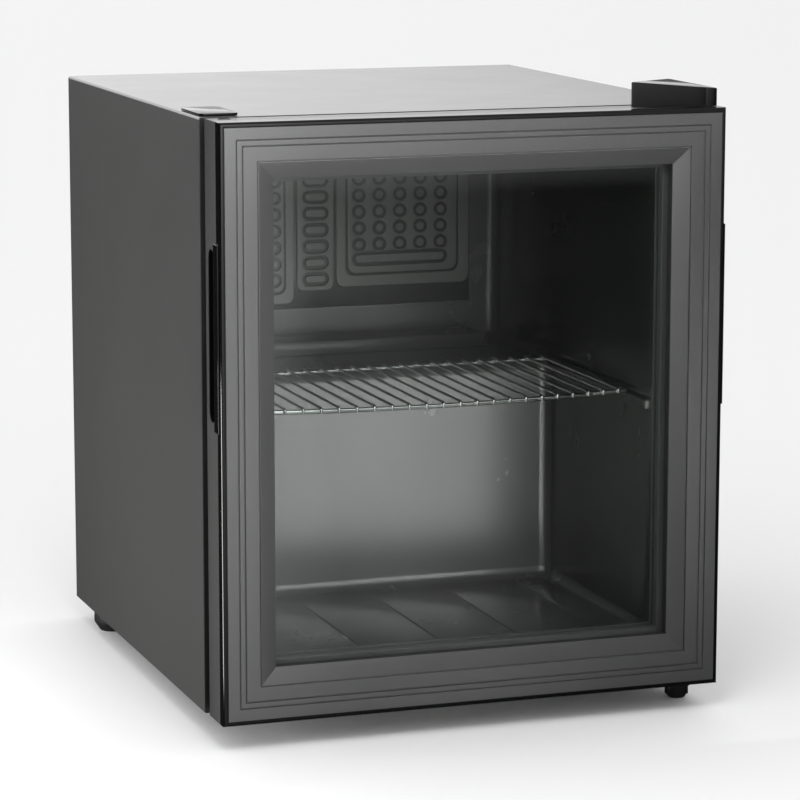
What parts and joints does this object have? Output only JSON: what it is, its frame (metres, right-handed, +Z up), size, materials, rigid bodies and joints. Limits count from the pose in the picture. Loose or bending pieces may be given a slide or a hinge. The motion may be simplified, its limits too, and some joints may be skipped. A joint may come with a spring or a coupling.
{
  "type": "mini fridge",
  "caption": "Counter-top compressor mini fridge with a framed glass door on pin hinges, a wire shelf, a moulded liner, a rear condenser and levelling feet.",
  "frame": {"origin": "under the middle of the whole fridge, on the plane of its feet", "axes": "+Z up, -Y out of the glass door, +X to the hinge side"},
  "size_m": [0.4334, 0.492, 0.5258],
  "materials": {
    "painted_steel": "satin",
    "satin_trim": "satin",
    "gloss_black": "gloss",
    "matte_black": "matte",
    "liner_plastic": "satin",
    "foam": "matte",
    "glass": "gloss",
    "spacer_metal": "satin",
    "gasket_rubber": "matte",
    "chrome_wire": "gloss",
    "zinc_steel": "satin",
    "evaporator_aluminium": "satin",
    "copper": "gloss"
  },
  "bodies": {
    "cabinet": {"outer_shell": "painted_steel", "base_plate": "zinc_steel", "compressor_bulkhead": "zinc_steel", "back_panel": "zinc_steel", "front_flange": "matte_black", "foam_insulation": "foam", "inner_liner": "liner_plastic", "drip_gutter": "liner_plastic", "drain_tube": "matte_black", "evaporation_pan": "matte_black", "evaporator_plate": "evaporator_aluminium", "evaporator_left_spacer": "matte_black", "evaporator_right_spacer": "matte_black", "compressor_pot": "matte_black", "compressor_base": "matte_black", "compressor_grommet_1": "gasket_rubber", "compressor_grommet_2": "gasket_rubber", "compressor_grommet_3": "gasket_rubber", "compressor_grommet_4": "gasket_rubber", "terminal_box": "matte_black", "suction_line": "copper", "discharge_line": "copper", "filter_drier": "copper", "capillary_tube": "copper", "condenser": "matte_black", "condenser_left_bracket": "matte_black", "condenser_right_bracket": "matte_black", "control_panel": "matte_black", "thermostat": "zinc_steel", "cable_gland": "matte_black", "rear_left_foot": "matte_black", "rear_right_foot": "matte_black", "upper_hinge_plate": "zinc_steel", "lower_hinge_plate": "zinc_steel", "lower_hinge_screw_1": "zinc_steel", "lower_hinge_screw_2": "zinc_steel", "upper_hinge_screw_1": "zinc_steel", "upper_hinge_screw_2": "zinc_steel", "lower_hinge_washer": "matte_black", "hinge_cover": "gloss_black", "screw_hole_cover": "gloss_black"},
    "door": {"door_front_frame": "gloss_black", "door_trim": "satin_trim", "glass_seal": "gasket_rubber", "door_side_frame": "painted_steel", "glass_spacer": "spacer_metal", "door_gasket": "gasket_rubber", "gasket_magnet": "matte_black", "outer_pane": "glass", "inner_pane": "glass", "top_bush": "matte_black", "bottom_bush": "matte_black", "top_hole_plug": "gloss_black", "bottom_hole_plug": "gloss_black", "left_grip": "gloss_black", "right_grip": "gloss_black"},
    "shelf": {"wire_shelf": "chrome_wire"},
    "knob": {"thermostat_knob": "gloss_black"},
    "front_left_leg": {"front_left_foot": "gloss_black"},
    "front_right_leg": {"front_right_foot": "gloss_black"}
  },
  "joints": [
    {"name": "door_hinge", "type": "hinge", "parent": "cabinet", "child": "door", "pos_m": [0.2015, -0.211, 0], "axis": [0, 0, 1], "range_deg": [0, 100]},
    {"name": "shelf_slide", "type": "slide", "parent": "cabinet", "child": "shelf", "axis": [0, -1, 0], "range_m": [0, 0.03]},
    {"name": "thermostat_turn", "type": "hinge", "parent": "cabinet", "child": "knob", "pos_m": [-0.12, 0.2302, 0.185], "axis": [0, 1, 0], "range_deg": [0, 300]},
    {"name": "front_left_foot_turn", "type": "hinge", "parent": "cabinet", "child": "front_left_leg", "pos_m": [-0.185, -0.11, 0], "axis": [0, 0, 1], "continuous": true},
    {"name": "front_right_foot_turn", "type": "hinge", "parent": "cabinet", "child": "front_right_leg", "pos_m": [0.1985, -0.199, 0], "axis": [0, 0, 1], "continuous": true}
  ]
}
